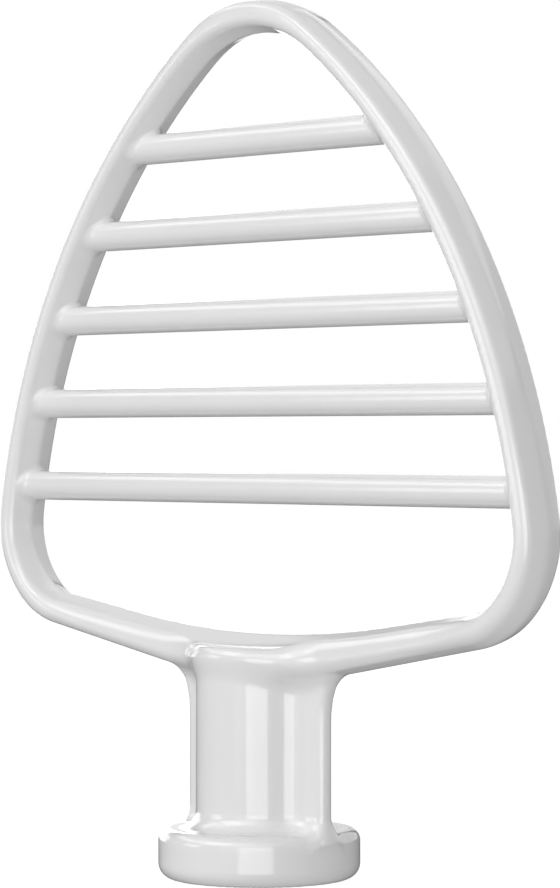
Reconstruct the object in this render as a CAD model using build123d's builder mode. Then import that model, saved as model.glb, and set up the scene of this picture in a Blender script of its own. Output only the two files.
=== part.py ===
from build123d import *
import os
from math import asin, atan2, cos, degrees, radians, sin, sqrt, tan

# Pastry beater for a stand mixer: one casting, a frame with round bars on a hub that takes the drive shaft

# Frame loop, measured at mid-depth, where its walls are widest before they lean in towards both faces
frame_top = 152.0
frame_half_width = 68.7
frame_depth = 8.8
draft_angle = 11.4
edge_radius = 1.2

# Outer outline of the loop
outer_apex_radius = 26.7
outer_side_radius = 125.6
outer_corner_radius = 18.3
outer_corner_height = 59.8
outer_limb_angle = 10.1
outer_dip_radius = 134.0

# Opening of the loop: how much metal is left round it, and its own curves
arm_width = 4.85
apex_thickness = 5.7
limb_thickness = 5.9
inner_apex_radius = 26.1
inner_corner_radius = 12.9
inner_limb_angle = 8.4
inner_dip_radius = 220.0

# Round bars across the opening, evenly spaced between the lowest and the highest
bar_count = 5
bar_diameter = 5.3
lowest_bar_rise = 7.15
highest_bar_drop = 18.5

# Hub tube, with a domed top that comes up through the limbs
tube_diameter = 22.0
tube_rim_radius = 1.5
dome_radius = 28.0
dome_sink = 0.6

# Wings on both sides of the tube, flared into the limbs
wing_span = 32.8
wing_thickness = 5.0
wing_edge_radius = 1.5
wing_root_radius = 2.3
wing_flare_radius = 8.5
wing_flare_reach = 12.0
wing_sink = 0.25
wing_bite = 3.5

# Collar that the beater stands on
collar_diameter = 35.0
collar_height = 8.7
collar_bottom_radius = 2.15
collar_top_radius = 1.9
collar_root_radius = 3.2
collar_least_flat = 0.3

# Socket for the drive shaft, with a slot for the shaft's cross pin and a pocket that the pin turns into
socket_diameter = 13.0
socket_roof = 7.4
pin_slot_width = 5.0
pin_slot_wall = 1.2
pin_slot_depth = 20.0
pin_pocket_height = 6.0
pin_pocket_angle = 30.0


class Loop:
    """One outline of the frame: apex, bowed sides, round corners, and limbs that dip to the middle."""

    def __init__(self, top, half_width, apex_radius, side_radius, corner_radius, corner_height, lean, dip_radius):
        self.top = top
        self.apex_radius = apex_radius
        self.side_radius = side_radius
        self.corner_radius = corner_radius
        self.dip_radius = dip_radius
        self.lean = lean
        self.apex = Vector(0, top - apex_radius)
        self.corner = Vector(half_width - corner_radius, corner_height)
        self.side = self.side_centre()

    def side_centre(self):
        """Centre of the circle that bows round the apex circle and the corner circle and touches both."""
        across = self.corner - self.apex
        to_apex = self.side_radius - self.apex_radius
        to_corner = self.side_radius - self.corner_radius
        along = (across.length**2 + to_apex**2 - to_corner**2) / (2 * across.length)
        aside = sqrt(to_apex**2 - along**2)
        direction = across.normalized()
        return self.apex + direction * along + Vector(direction.Y, -direction.X) * aside

    def draw(self):
        """Draws the right half, from the top round to the middle of the base, and its mirror image."""
        to_apex = self.apex - self.side
        to_corner = self.corner - self.side
        side_start = degrees(atan2(to_apex.Y, to_apex.X))
        side_end = degrees(atan2(to_corner.Y, to_corner.X))
        dip_reach = self.dip_radius * sin(radians(self.lean))
        with BuildLine() as outline:
            apex = JernArc((0, self.top), (1, 0), self.apex_radius, side_start - 90)
            side = JernArc(apex @ 1, apex % 1, self.side_radius, side_end - side_start)
            corner = JernArc(side @ 1, side % 1, self.corner_radius, self.lean - 90 - side_end)
            limb = Line(corner @ 1, (dip_reach, self.limb_height(dip_reach)))
            JernArc(limb @ 1, limb % 1, self.dip_radius, -self.lean)
            mirror(about=Plane.YZ)
        make_face(outline.edges())

    def limb_height(self, x):
        """Height of the limb's straight stretch, drawn on to any distance from the middle."""
        lean = radians(self.lean)
        return self.corner.Y - (self.corner.X - x) * tan(lean) - self.corner_radius / cos(lean)

    def dip_height(self):
        """Height of the lowest point, in the middle of the base."""
        lean = radians(self.lean)
        return self.limb_height(self.dip_radius * sin(lean)) - self.dip_radius * (1 - cos(lean))

    def half_width(self, height):
        """Half-width at a height on the bowed sides."""
        return self.side.X + sqrt(self.side_radius**2 - (height - self.side.Y) ** 2)


outer = Loop(frame_top, frame_half_width, outer_apex_radius, outer_side_radius, outer_corner_radius,
             outer_corner_height, outer_limb_angle, outer_dip_radius)
underside = outer.limb_height

# The opening leaves the arms, the apex and the limbs their own thickness
inner_half_width = frame_half_width - arm_width
inner_limb_end = underside(inner_half_width - inner_corner_radius) + limb_thickness
inner_corner_height = inner_limb_end + inner_corner_radius / cos(radians(inner_limb_angle))
inner = Loop(frame_top - apex_thickness, inner_half_width, inner_apex_radius, outer_side_radius - arm_width,
             inner_corner_radius, inner_corner_height, inner_limb_angle, inner_dip_radius)

lowest_bar_height = inner_corner_height + lowest_bar_rise
highest_bar_height = inner.top - highest_bar_drop
bar_pitch = (highest_bar_height - lowest_bar_height) / (bar_count - 1)

tube_radius = tube_diameter / 2
dome_top = inner.dip_height() - dome_sink
dome_rim = dome_top - dome_radius + sqrt(dome_radius**2 - tube_radius**2)
collar_radius = collar_diameter / 2
collar_root = min(collar_root_radius, collar_radius - tube_radius - collar_top_radius - collar_least_flat)
wing_half = wing_span / 2
wing_foot = collar_height - collar_top_radius
wing_top = wing_sink + wing_bite
flare_end = wing_half + wing_flare_reach

socket_depth = dome_top - socket_roof
pin_slot_reach = tube_radius - pin_slot_wall
pin_pocket_sweep = pin_pocket_angle + degrees(asin(pin_slot_width / 2 / pin_slot_reach))

# Frame loop: a body that leans in towards both faces, with its opening cut out and its edges rounded
with BuildPart() as frame:
    with BuildSketch(Plane.XZ):
        outer.draw()
    extrude(amount=frame_depth / 2, both=True, taper=draft_angle)
    with BuildSketch(Plane.XZ):
        inner.draw()
    extrude(amount=frame_depth / 2, both=True, taper=-draft_angle, mode=Mode.SUBTRACT)
    by_depth = frame.faces().sort_by(Axis.Y)
    fillet(by_depth[0].edges() + by_depth[-1].edges(), edge_radius)

# Bars: each one runs from the middle of one arm to the middle of the other
with BuildPart() as barred:
    add(frame.part)
    for number in range(bar_count):
        height = lowest_bar_height + number * bar_pitch
        with BuildSketch(Plane.YZ):
            with Locations((0, height)):
                Circle(bar_diameter / 2)
        extrude(amount=inner.half_width(height) + arm_width / 2, both=True)

# Collar and tube: one turned body
with BuildPart() as turned:
    with BuildSketch(Plane.XZ):
        with BuildLine():
            Polyline((0, 0), (collar_radius, 0), (collar_radius, collar_height), (tube_radius, collar_height),
                     (tube_radius, dome_rim))
            RadiusArc((tube_radius, dome_rim), (0, dome_top), -dome_radius)
            Line((0, dome_top), (0, 0))
        make_face()
        fillet(vertices().sort_by_distance((collar_radius, 0))[0], collar_bottom_radius)
        fillet(vertices().sort_by_distance((collar_radius, collar_height))[0], collar_top_radius)
        fillet(vertices().sort_by_distance((tube_radius, collar_height))[0], collar_root)
        fillet(vertices().sort_by_distance((tube_radius, dome_rim))[0], tube_rim_radius)
    revolve(axis=Axis.Z)

# Wings: a plate through the tube, flared at the top and rounded along its free edges
with BuildPart() as wings:
    with BuildSketch(Plane.XZ):
        with BuildLine():
            Polyline((0, wing_foot), (wing_half, wing_foot), (wing_half, underside(wing_half) + wing_sink),
                     (flare_end, underside(flare_end) + wing_sink), (flare_end, underside(flare_end) + wing_top),
                     (0, underside(0) + wing_top), (0, wing_foot))
        make_face()
        fillet(vertices().sort_by_distance((wing_half, underside(wing_half) + wing_sink))[0], wing_flare_radius)
        mirror(about=Plane.YZ)
    extrude(amount=wing_thickness / 2, both=True)
    fillet(wings.faces().filter_by(GeomType.CYLINDER).edges().filter_by(Plane.XZ), wing_edge_radius)

# Roots: tube and wings in one section, with a fillet in each corner between them, up to the tube's rounded rim
with BuildPart() as roots:
    with BuildSketch(Plane.XY.offset(wing_foot)):
        Circle(tube_radius)
        Rectangle(2 * tube_radius + 2 * wing_root_radius, wing_thickness)
        corners = vertices().filter_by_position(Axis.X, -tube_radius, tube_radius, inclusive=(False, False))
        fillet(corners, wing_root_radius)
    extrude(amount=dome_rim - tube_rim_radius - wing_foot)

# Whole casting, with the socket sunk into the hub from below
with BuildPart() as pastry_beater:
    add(barred.part)
    add(turned.part)
    add(wings.part)
    add(roots.part)
    with BuildSketch():
        Circle(socket_diameter / 2)
    extrude(amount=socket_depth, mode=Mode.SUBTRACT)
    with BuildSketch():
        Rectangle(pin_slot_reach, pin_slot_width, align=(Align.MIN, Align.CENTER))
    extrude(amount=pin_slot_depth, mode=Mode.SUBTRACT)
    with BuildSketch(Plane.XY.offset(pin_slot_depth - pin_pocket_height)):
        with BuildLine():
            reach = CenterArc((0, 0), pin_slot_reach, 0, pin_pocket_sweep)
            Line(reach @ 1, (0, 0))
            Line((0, 0), reach @ 0)
        make_face()
    extrude(amount=pin_pocket_height, mode=Mode.SUBTRACT)

os.makedirs("parts", exist_ok=True)
pastry_beater.part.label = "pastry_beater"
export_step(pastry_beater.part, "parts/pastry_beater.step")
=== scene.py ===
from math import asin, atan2, cos, pi, radians, sin, sqrt, tan

import bpy
import numpy as np
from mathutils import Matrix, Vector


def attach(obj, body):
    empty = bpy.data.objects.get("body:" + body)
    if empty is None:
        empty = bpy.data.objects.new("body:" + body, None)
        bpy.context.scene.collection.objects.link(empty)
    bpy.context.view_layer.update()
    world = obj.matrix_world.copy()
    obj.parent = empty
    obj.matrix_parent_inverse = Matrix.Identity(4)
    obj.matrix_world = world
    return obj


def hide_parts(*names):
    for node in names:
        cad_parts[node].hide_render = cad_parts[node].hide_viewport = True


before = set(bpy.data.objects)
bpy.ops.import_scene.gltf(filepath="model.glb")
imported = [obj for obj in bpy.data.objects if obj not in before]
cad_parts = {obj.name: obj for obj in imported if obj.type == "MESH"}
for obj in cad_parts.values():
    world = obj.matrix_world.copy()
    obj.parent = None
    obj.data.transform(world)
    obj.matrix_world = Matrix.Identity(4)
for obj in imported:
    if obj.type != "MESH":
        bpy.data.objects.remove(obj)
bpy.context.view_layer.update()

MM = 0.001

# Camera: level, turned from the frame's front. The offsets are pixels of an image that is 888 pixels high
image_height = 888
view_turn = radians(48)
camera_distance = 634.4 * MM
camera_height = 76.07 * MM
camera_lens = 148.4
nearest_view = 10 * MM
object_offset = -20.73
horizon_offset = -5.5
towards_camera = Vector((sin(view_turn), -cos(view_turn), 0))
camera_right = Vector((cos(view_turn), sin(view_turn), 0))

# Studio, in metres: soft panels that face the object, and dark cards and a dark ground beyond them
panel_distance = 1.6
panel_aim = Vector((0, 0, 0.07))
card_distance = 1.9
card_top = 1.2
card_steps = 12
ground_height = -0.6
ground_half_width = 6.0
floor_height = -0.2 * MM
floor_half_width = 0.8

# Looks of the surroundings: their tones, and how they glow towards the object and as a background
dark_tone = 0.03
floor_tone = 0.3
floor_roughness = 0.9
floor_glow = 0.37
floor_background = 0.9
world_glow = 0.02
world_background = 1.0

# Coating: its index of refraction, and the ends between which its tone and its roughness vary
coating_ior = 1.5
coating_low_tone = 0.80
coating_high_tone = 0.84
coating_low_roughness = 0.08
coating_high_roughness = 0.16

# Frame loop, measured at mid-depth, where its walls are widest. All sizes of the casting are in millimetres
frame_top = 152.0
frame_half_width = 68.7
frame_depth = 8.8

# Outer outline of the loop
outer_apex_radius = 26.7
outer_side_radius = 125.6
outer_corner_radius = 18.3
outer_corner_height = 59.8
outer_limb_angle = radians(10.1)
outer_dip_radius = 134.0

# Opening of the loop: the metal that is left round it, the ridge inside the arms, and its own curves
arm_width = 4.85
apex_thickness = 5.7
limb_thickness = 6.05
ridge_reach = 0.57
inner_apex_radius = 26.1
inner_corner_radius = 12.9
inner_limb_angle = radians(8.4)
inner_dip_radius = 220.0

# How far the loop's walls lean in, for each millimetre of depth from the parting line
outer_draft = tan(radians(11.4))
inner_draft = tan(radians(18.4))
limb_top_draft = tan(radians(29))
limb_base_draft = tan(radians(17))

# The limbs lean more than the arms: where their top and underside start to change, and over what stretch
limb_top_reach = 62.0
limb_top_fade = 20.0
limb_top_rise = 66.0
limb_top_rise_fade = 8.0
limb_base_rise = 64.0
limb_base_fade = 16.0

# Top of the hub: it drops this far from the ridge between the limbs, then climbs slowly towards both faces
hub_top_drop = 2.75
hub_top_climb = 0.085
hub_top_blend = 0.4

# Round bars across the opening, which end inside the arms
bar_count = 5
bar_radius = 2.65
lowest_bar_height = 67.4
bar_pitch = 15.1
bar_end_inset = 1.5

# Hub: a tube with two wings that flare into the limbs, and a boss where the limbs swell round it
tube_radius = 11.0
neck_base = 4.0
neck_top = 60.0
boss_radius = 11.3
wing_half_width = 17.5
wing_thickness = 3.1
wing_foot = 8.2
flare_radius = 11.8
flare_sink = 4.8
flare_end = 34.0

# Collar that the beater stands on
collar_radius = 17.5
collar_height = 8.7

# Socket for the drive shaft, with a slot for the shaft's cross pin and a pocket that the pin turns into
socket_radius = 6.5
socket_depth = 34.07
pin_slot_width = 5.0
pin_slot_reach = 9.8
pin_slot_depth = 20.0
pin_pocket_height = 6.0
pin_pocket_sweep = radians(30) + asin(pin_slot_width / 2 / pin_slot_reach)

# Cast-in roundings. The limbs' edges have theirs on top of the arms' edge radius
edge_radius = 1.1
limb_top_rounding = 1.3
limb_base_rounding = 0.5
parting_radius = 1.0
ridge_radius = 0.3
bar_root_radius = 1.2
boss_root_radius = 20.0
wing_edge_radius = 1.5
wing_root_radius = 5.0
collar_top_radius = 2.1
collar_bottom_radius = 2.75
collar_root_radius = 3.2
socket_mouth_radius = 0.7

# The root under the limbs grows towards the tube: where it starts to, and over what stretch
flare_root_radius = 1.8
tube_root_radius = 3.2
tube_reach = 21.0
tube_reach_fade = 8.0

# Surface mesh: its grid, and how its points are put on the surface and spread
cell = 0.66
cell_corners = [(i, j, k) for i in (0, 1) for j in (0, 1) for k in (0, 1)]
margin_cells = 1.3
slope_step = 0.02
least_square_slope = 0.2
first_settle_rounds = 3
settle_rounds = 2
spread_rounds = 2
spread_share = 0.6


class Outline:
    """Closed convex outline: apex, bowed sides, round corners, and straight limbs that meet in a bend."""

    def __init__(self, top, half_width, apex_radius, side_radius, corner_radius, corner_height, lean,
                 dip_radius):
        apex = np.array((0, top - apex_radius))
        corner = np.array((half_width - corner_radius, corner_height))
        across = corner - apex
        span = np.hypot(*across)
        to_apex = side_radius - apex_radius
        to_corner = side_radius - corner_radius
        along = (span**2 + to_apex**2 - to_corner**2) / (2 * span)
        aside = sqrt(to_apex**2 - along**2)
        direction = across / span
        side = apex + direction * along + np.array((direction[1], -direction[0])) * aside
        side_start = atan2(*(apex - side)[::-1])
        side_end = atan2(*(corner - side)[::-1])
        self.lean = lean
        self.limb_base = corner[1] - corner[0] * tan(lean) - corner_radius / cos(lean)
        dip = np.array((0, self.limb_base + dip_radius / cos(lean)))
        self.arcs = ((apex, apex_radius, side_start, pi / 2),
                     (side, side_radius, side_end, side_start),
                     (corner, corner_radius, lean - pi / 2, side_end),
                     (dip, dip_radius, -pi / 2, lean - pi / 2))

    def distance(self, x, z):
        """Distance from the outline in its plane, negative inside."""
        furthest = np.full(x.shape, -np.inf)
        for centre, radius, start, end in self.arcs:
            across = np.abs(x) - centre[0]
            up = z - centre[1]
            turn = np.arctan2(up, across)
            lag = turn - np.clip(turn, start, end)
            furthest = np.maximum(furthest, np.hypot(across, up) * np.cos(lag) - radius)
        return furthest

    def limb_height(self, x):
        """Height of the limb's straight stretch, drawn on to any distance from the middle."""
        return self.limb_base + np.abs(x) * tan(self.lean)


outer = Outline(frame_top, frame_half_width, outer_apex_radius, outer_side_radius, outer_corner_radius,
                outer_corner_height, outer_limb_angle, outer_dip_radius)

# The opening leaves the arms, the apex and the limbs their own thickness
inner_half_width = frame_half_width - arm_width
inner_limb_end = outer.limb_height(inner_half_width - inner_corner_radius) + limb_thickness
inner_corner_height = inner_limb_end + inner_corner_radius / cos(inner_limb_angle)
inner = Outline(frame_top - apex_thickness, inner_half_width - ridge_reach, inner_apex_radius - ridge_reach,
                outer_side_radius - arm_width, inner_corner_radius, inner_corner_height, inner_limb_angle,
                inner_dip_radius)


def joined(a, b, radius):
    """Union of two distances, with a fillet in the corner between them."""
    gap = np.hypot(np.maximum(radius - a, 0), np.maximum(radius - b, 0))
    return np.maximum(np.minimum(a, b), radius) - gap


def trimmed(a, b, radius):
    """Overlap of two distances, with a rounded edge between them."""
    gap = np.hypot(np.maximum(radius + a, 0), np.maximum(radius + b, 0))
    return np.minimum(np.maximum(a, b), -radius) + gap


def rooted(x, depth, hub, half_depth, radius):
    """Distance from the fillets between a round hub and a plate through it, seen along the hub's axis."""
    centre_depth = half_depth + radius
    centre_x = sqrt((hub + radius) ** 2 - centre_depth**2)
    across, along = np.abs(x) - centre_x, depth - centre_depth
    between = (across <= 0) & (along * centre_x <= across * centre_depth)
    return np.where(between, radius - np.hypot(across, along), np.inf)


def eased(share):
    """Smooth step from nought to one."""
    share = np.clip(share, 0, 1)
    return share * share * (3 - 2 * share)


def rounded_depth(y, radius):
    """Depth from the parting line, with the corner there rounded."""
    return np.sqrt(y * y + radius**2) - radius


def outer_wall(x, y, z, limb_base):
    """Distance from the loop's outer wall, which leans more under the limbs."""
    lean = outer_draft + limb_base * (limb_base_draft - outer_draft)
    return (outer.distance(x, z) + lean * rounded_depth(y, parting_radius)) / np.hypot(1, lean)


def inner_wall(x, y, z, limb_top):
    """Distance from the opening's wall, which leans more on the limbs and levels out over the hub."""
    depth = rounded_depth(y, ridge_radius)
    lean = inner_draft + limb_top * (limb_top_draft - inner_draft)
    drop = lean * depth
    excess = drop - (hub_top_drop - hub_top_climb * depth)
    drop = drop - limb_top * np.logaddexp(0, excess / hub_top_blend) * hub_top_blend
    return (drop - inner.distance(x, z)) / np.hypot(1, lean)


def face(x, y, z):
    """Distance from the loop's faces, which swell round the hub."""
    depth = np.abs(y)
    fillets = rooted(x, depth, boss_radius, frame_depth / 2, boss_root_radius)
    boss = np.maximum(np.minimum(np.hypot(x, y) - boss_radius, fillets), z - neck_top)
    return np.minimum(depth - frame_depth / 2, boss)


def neck(x, y, z):
    """Distance from the tube, the wings and the fillets between them."""
    side = np.abs(x)
    depth = np.abs(y)
    under_limb = (outer.limb_height(x) - z) * cos(outer.lean) + flare_sink
    plate = np.maximum(joined(side - wing_half_width, under_limb, flare_radius), side - flare_end)
    wings = np.maximum(trimmed(plate, depth - wing_thickness / 2, wing_edge_radius), wing_foot - z)
    fillets = np.maximum(rooted(x, depth, tube_radius, wing_thickness / 2, wing_root_radius), wing_foot - z)
    whole = np.minimum(np.minimum(np.hypot(x, y) - tube_radius, wings), fillets)
    return np.maximum(whole, np.maximum(z - neck_top, neck_base - z))


def collar(x, y, z):
    """Distance from the collar."""
    upper = trimmed(np.hypot(x, y) - collar_radius, z - collar_height, collar_top_radius)
    return trimmed(upper, -z, collar_bottom_radius)


def bars(y, z):
    """Distance from the nearest bar, drawn on past both arms."""
    number = np.clip(np.round((z - lowest_bar_height) / bar_pitch), 0, bar_count - 1)
    return np.hypot(y, z - lowest_bar_height - number * bar_pitch) - bar_radius


def socket(x, y, z):
    """Distance from the hollow in the hub: bore, pin slot and pin pocket."""
    axis_distance = np.hypot(x, y)
    bore = np.maximum(axis_distance - socket_radius, z - socket_depth)
    slot_plan = np.maximum(np.maximum(np.abs(y) - pin_slot_width / 2, -x), x - pin_slot_reach)
    slot = np.maximum(slot_plan, z - pin_slot_depth)
    swept = np.maximum(-y, y * cos(pin_pocket_sweep) - x * sin(pin_pocket_sweep))
    level = np.maximum(z - pin_slot_depth, pin_slot_depth - pin_pocket_height - z)
    pocket = np.maximum(np.maximum(axis_distance - pin_slot_reach, swept), level)
    return np.minimum(np.minimum(bore, slot), pocket)


def casting(x, y, z):
    """Distance from the casting's surface, negative inside."""
    limb_base = eased((limb_base_rise - z) / limb_base_fade)
    limb_top = eased((limb_top_reach - np.abs(x)) / limb_top_fade)
    limb_top = limb_top * eased((limb_top_rise - z) / limb_top_rise_fade)
    near_tube = eased((tube_reach - np.hypot(x, y)) / tube_reach_fade)
    root_radius = flare_root_radius + near_tube * (tube_root_radius - flare_root_radius)
    outside = outer_wall(x, y, z, limb_base)

    body = trimmed(outside, face(x, y, z), edge_radius + limb_base * limb_base_rounding)
    body = joined(body, neck(x, y, z), root_radius)
    body = trimmed(body, inner_wall(x, y, z, limb_top), edge_radius + limb_top * limb_top_rounding)
    body = joined(body, collar(x, y, z), collar_root_radius)
    body = joined(body, np.maximum(bars(y, z), outside + bar_end_inset), bar_root_radius)
    return trimmed(body, -socket(x, y, z), socket_mouth_radius)


def slope(points):
    """Gradient of the casting's distance at each point."""
    return np.stack([(casting(*(points + shift).T) - casting(*(points - shift).T)) / (2 * slope_step)
                     for shift in np.eye(3) * slope_step], axis=1)


def settle(points, rounds):
    """Points moved onto the casting's surface along the gradient."""
    for _ in range(rounds):
        uphill = slope(points)
        square = np.maximum((uphill**2).sum(axis=1), least_square_slope)
        points = points - uphill * (casting(*points.T) / square)[:, None]
    return points


def spread(points, faces):
    """Points moved part of the way to the mean of their neighbours."""
    total = np.zeros_like(points)
    count = np.zeros(len(points))
    for near, far in ((0, 1), (1, 2), (2, 3), (3, 0)):
        np.add.at(total, faces[:, near], points[faces[:, far]])
        np.add.at(count, faces[:, near], 1)
    return points + spread_share * (total / count[:, None] - points)


def sampled_grid():
    """Lowest corner of a grid of cells round the casting, and the distance at each corner of its cells."""
    low = np.array((-frame_half_width, -collar_radius, 0)) - margin_cells * cell
    high = np.array((frame_half_width, collar_radius, frame_top)) + margin_cells * cell
    across, deep, up = [np.arange(start, end + cell, cell) for start, end in zip(low, high)]
    layers = [casting(*np.broadcast_arrays(x, deep[:, None], up[None, :])) for x in across]
    return low, np.stack(layers)


def at_corner(values, corner):
    """Value that each cell of a grid has at one of its corners."""
    return values[tuple(slice(c, c + n - 1) for c, n in zip(corner, values.shape))]


def cut_points(values, crossed):
    """A point for each crossed cell, in cells: the mean of the places where the surface cuts its edges."""
    total = np.zeros((crossed.sum(), 3))
    cuts = np.zeros(crossed.sum())
    for corner in cell_corners:
        for axis in range(3):
            if corner[axis] == 0:
                far = tuple(c + (n == axis) for n, c in enumerate(corner))
                near_value = at_corner(values, corner)[crossed]
                far_value = at_corner(values, far)[crossed]
                cut = (near_value < 0) != (far_value < 0)
                share = near_value[cut] / (near_value[cut] - far_value[cut])
                total[cut] += np.array(corner) + share[:, None] * np.eye(3)[axis]
                cuts[cut] += 1
    return np.argwhere(crossed) + total / cuts[:, None]


def cut_faces(inside, number):
    """A face for each grid edge that the surface cuts, between the points of the four cells round it."""
    faces = []
    for axis in range(3):
        second, third = (axis + 1) % 3, (axis + 2) % 3
        span = [slice(1, -1)] * 3
        span[axis] = slice(0, -1)
        ahead = list(span)
        ahead[axis] = slice(1, None)
        here, there = inside[tuple(span)], inside[tuple(ahead)]
        place = np.argwhere(here != there) + np.array([n != axis for n in range(3)])
        ring = []
        for back_second, back_third in ((1, 1), (0, 1), (0, 0), (1, 0)):
            shift = np.zeros(3, int)
            shift[second], shift[third] = back_second, back_third
            ring.append(number[tuple((place - shift).T)])
        ring = np.stack(ring, axis=1)
        flip = ~here[here != there]
        ring[flip] = ring[flip][:, ::-1]
        faces.append(ring)
    return np.concatenate(faces)


def surface():
    """Vertices, four-sided faces and normals of the casting's surface."""
    low, values = sampled_grid()
    inside = values < 0
    filled = sum(at_corner(inside, corner).astype(int) for corner in cell_corners)
    crossed = (filled > 0) & (filled < len(cell_corners))
    number = np.full(crossed.shape, -1)
    number[crossed] = np.arange(crossed.sum())
    faces = cut_faces(inside, number)
    points = settle(low + cut_points(values, crossed) * cell, first_settle_rounds)
    for _ in range(spread_rounds):
        points = settle(spread(points, faces), settle_rounds)
    normals = slope(points)
    return points, faces, normals / np.linalg.norm(normals, axis=1)[:, None]


def add_object(name, data):
    """An object of the scene, made from its data."""
    item = bpy.data.objects.new(name, data)
    bpy.context.scene.collection.objects.link(item)
    return item


def add_casting(material):
    """The beater itself, with normals taken from the formula of its surface."""
    points, faces, normals = surface()
    mesh = bpy.data.meshes.new("casting")
    mesh.from_pydata((points * MM).tolist(), [], faces.tolist())
    mesh.shade_smooth()
    mesh.normals_split_custom_set_from_vertices(normals.tolist())
    mesh.materials.append(material)
    piece = add_object("casting", mesh)
    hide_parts("pastry_beater")
    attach(piece, "root")


def add_camera():
    """A level camera. Its shift puts the object in its place in the image."""
    data = bpy.data.cameras.new("camera")
    data.lens = camera_lens
    data.clip_start = nearest_view
    data.shift_x = -object_offset / image_height
    data.shift_y = horizon_offset / image_height
    camera = add_object("camera", data)
    camera.location = towards_camera * camera_distance + Vector((0, 0, camera_height))
    camera.rotation_euler = (pi / 2, 0, view_turn)
    bpy.context.scene.camera = camera


def around(turn):
    """Level direction from the object, turned in degrees from the camera's direction to the right."""
    return towards_camera * cos(radians(turn)) + camera_right * sin(radians(turn))


def add_panel(name, turn, elevation, width, height, radiance):
    """A soft panel that faces the object. Its place and its size are angles seen from the object."""
    data = bpy.data.lights.new(name, "AREA")
    data.shape = "RECTANGLE"
    data.size = 2 * panel_distance * tan(radians(width / 2))
    data.size_y = 2 * panel_distance * tan(radians(height / 2))
    data.energy = radiance * pi * data.size * data.size_y
    away = around(turn) * cos(radians(elevation)) + Vector((0, 0, sin(radians(elevation))))
    panel = add_object(name, data)
    panel.location = away * panel_distance + panel_aim
    panel.rotation_euler = away.to_track_quat("Z", "Y").to_euler()
    panel.visible_camera = False


def add_lights():
    """A panel in front, softboxes above from the left to the front, and strips and fills round the object."""
    add_panel("front_panel", turn=-4, elevation=0, width=39, height=36, radiance=3.6)
    for turn, radiance in ((-90, 1.1), (-60, 3.3), (-30, 2.2), (0, 1.0)):
        add_panel(f"softbox_{abs(turn)}", turn, elevation=40, width=26, height=28, radiance=radiance)
    add_panel("left_strip", turn=-116, elevation=37, width=34, height=8, radiance=1.7)
    add_panel("left_fill", turn=-83, elevation=8, width=22, height=20, radiance=3.0)
    add_panel("right_strip", turn=44, elevation=8, width=10, height=20, radiance=2.5)
    add_panel("right_fill", turn=90, elevation=12, width=30, height=26, radiance=0.5)
    add_panel("rear_strip", turn=-155, elevation=8, width=44, height=24, radiance=2.2)
    add_panel("rear_fill", turn=135, elevation=26, width=56, height=50, radiance=1.0)
    add_panel("top_fill", turn=150, elevation=67, width=50, height=22, radiance=0.6)


def add_card(name, start, end, material):
    """A curved card round the object, between two turns, beyond the panels and out of the picture."""
    corners = []
    for number in range(card_steps + 1):
        foot = around(start + (end - start) * number / card_steps) * card_distance
        corners += [foot + Vector((0, 0, ground_height)), foot + Vector((0, 0, card_top))]
    mesh = bpy.data.meshes.new(name)
    mesh.from_pydata(corners, [], [(2 * n, 2 * n + 1, 2 * n + 3, 2 * n + 2) for n in range(card_steps)])
    mesh.materials.append(material)
    card = add_object(name, mesh)
    card.visible_camera = False


def add_plane(name, half, height, material):
    """A square level plane with its middle under the object, given by half its width."""
    corners = ((-half, -half), (half, -half), (half, half), (-half, half))
    mesh = bpy.data.meshes.new(name)
    mesh.from_pydata([(x, y, height) for x, y in corners], [], [(0, 1, 2, 3)])
    mesh.materials.append(material)
    return add_object(name, mesh)


def add_ground(material):
    """Ground below the floor, which mirror images meet and the camera doesn't see."""
    ground = add_plane("ground", ground_half_width, ground_height, material)
    ground.visible_camera = False


def add_floor(material):
    """Floor just under the object, which mirror images pass."""
    floor = add_plane("floor", floor_half_width, floor_height, material)
    floor.visible_glossy = False


def grey(tone):
    """Opaque colour of one tone."""
    return (tone, tone, tone, 1)


def ranged(nodes, links, share, low, high):
    """Value from low to high as a share goes from nought to one."""
    ramp = nodes.new("ShaderNodeMapRange")
    ramp.inputs["To Min"].default_value = low
    ramp.inputs["To Max"].default_value = high
    links.new(share, ramp.inputs["Value"])
    return ramp.outputs["Result"]


def background_rays(nodes, links):
    """One for rays that show the background: from the camera, a mirror or clear glass."""
    path = nodes.new("ShaderNodeLightPath")
    shown = path.outputs["Is Camera Ray"]
    for ray in ("Is Glossy Ray", "Is Transmission Ray"):
        either = nodes.new("ShaderNodeMath")
        either.operation = "MAXIMUM"
        links.new(shown, either.inputs[0])
        links.new(path.outputs[ray], either.inputs[1])
        shown = either.outputs[0]
    return shown


def set_world():
    """White background, which gives the object hardly any light apart from mirror images."""
    world = bpy.data.worlds.new("studio")
    world.use_nodes = True
    nodes, links = world.node_tree.nodes, world.node_tree.links
    background = nodes["Background"]
    background.inputs["Color"].default_value = grey(1)
    strength = ranged(nodes, links, background_rays(nodes, links), world_glow, world_background)
    links.new(strength, background.inputs["Strength"])
    bpy.context.scene.world = world


def new_material(name):
    """A material, with its nodes, its links and its shader."""
    material = bpy.data.materials.new(name)
    material.use_nodes = True
    tree = material.node_tree
    return material, tree.nodes, tree.links, tree.nodes["Principled BSDF"]


def dark_card():
    """Dark card without gloss."""
    material, _, _, shader = new_material("dark_card")
    shader.inputs["Base Color"].default_value = grey(dark_tone)
    shader.inputs["Specular IOR Level"].default_value = 0.0
    return material


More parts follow.
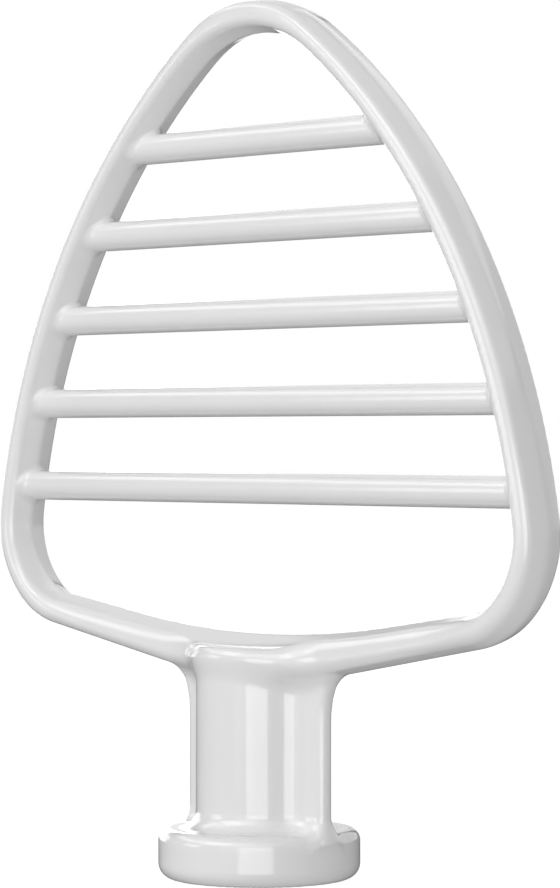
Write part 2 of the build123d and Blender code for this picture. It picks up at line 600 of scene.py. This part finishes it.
def pale_floor():
    """Pale floor without gloss, which shows as part of the background and keeps the object's shadow."""
    material, nodes, links, shader = new_material("pale_floor")
    shader.inputs["Base Color"].default_value = grey(floor_tone)
    shader.inputs["Roughness"].default_value = floor_roughness
    shader.inputs["Specular IOR Level"].default_value = 0.0
    shader.inputs["Emission Color"].default_value = grey(1)
    glow = ranged(nodes, links, background_rays(nodes, links), floor_glow, floor_background)
    links.new(glow, shader.inputs["Emission Strength"])
    return material


def white_coating():
    """Gloss white coating: slightly uneven tone and gloss, a slow waviness and a faint orange peel."""
    material, nodes, links, shader = new_material("white_coating")
    shader.inputs["IOR"].default_value = coating_ior
    place = nodes.new("ShaderNodeTexCoord")

    def noise(scale, detail):
        texture = nodes.new("ShaderNodeTexNoise")
        texture.inputs["Scale"].default_value = scale
        texture.inputs["Detail"].default_value = detail
        links.new(place.outputs["Object"], texture.inputs["Vector"])
        return texture.outputs["Fac"]

    def bump(height, strength, rise):
        relief = nodes.new("ShaderNodeBump")
        relief.inputs["Strength"].default_value = strength
        relief.inputs["Distance"].default_value = rise
        links.new(height, relief.inputs["Height"])
        return relief

    tone = nodes.new("ShaderNodeMix")
    tone.data_type = "RGBA"
    tone.inputs["A"].default_value = grey(coating_low_tone)
    tone.inputs["B"].default_value = grey(coating_high_tone)
    links.new(noise(scale=60, detail=3), tone.inputs["Factor"])
    links.new(tone.outputs["Result"], shader.inputs["Base Color"])
    gloss = ranged(nodes, links, noise(scale=90, detail=2), coating_low_roughness, coating_high_roughness)
    links.new(gloss, shader.inputs["Roughness"])
    waves = bump(noise(scale=140, detail=1), strength=0.25, rise=0.2 * MM)
    peel = bump(noise(scale=900, detail=2), strength=0.15, rise=0.05 * MM)
    links.new(waves.outputs["Normal"], peel.inputs["Normal"])
    links.new(peel.outputs["Normal"], shader.inputs["Normal"])
    return material


add_casting(white_coating())
add_camera()
add_lights()
dark = dark_card()
add_card("left_card", start=-170, end=-45, material=dark)
add_card("right_card", start=15, end=170, material=dark)
add_ground(dark)
add_floor(pale_floor())
set_world()
bpy.context.scene.view_settings.view_transform = "Standard"
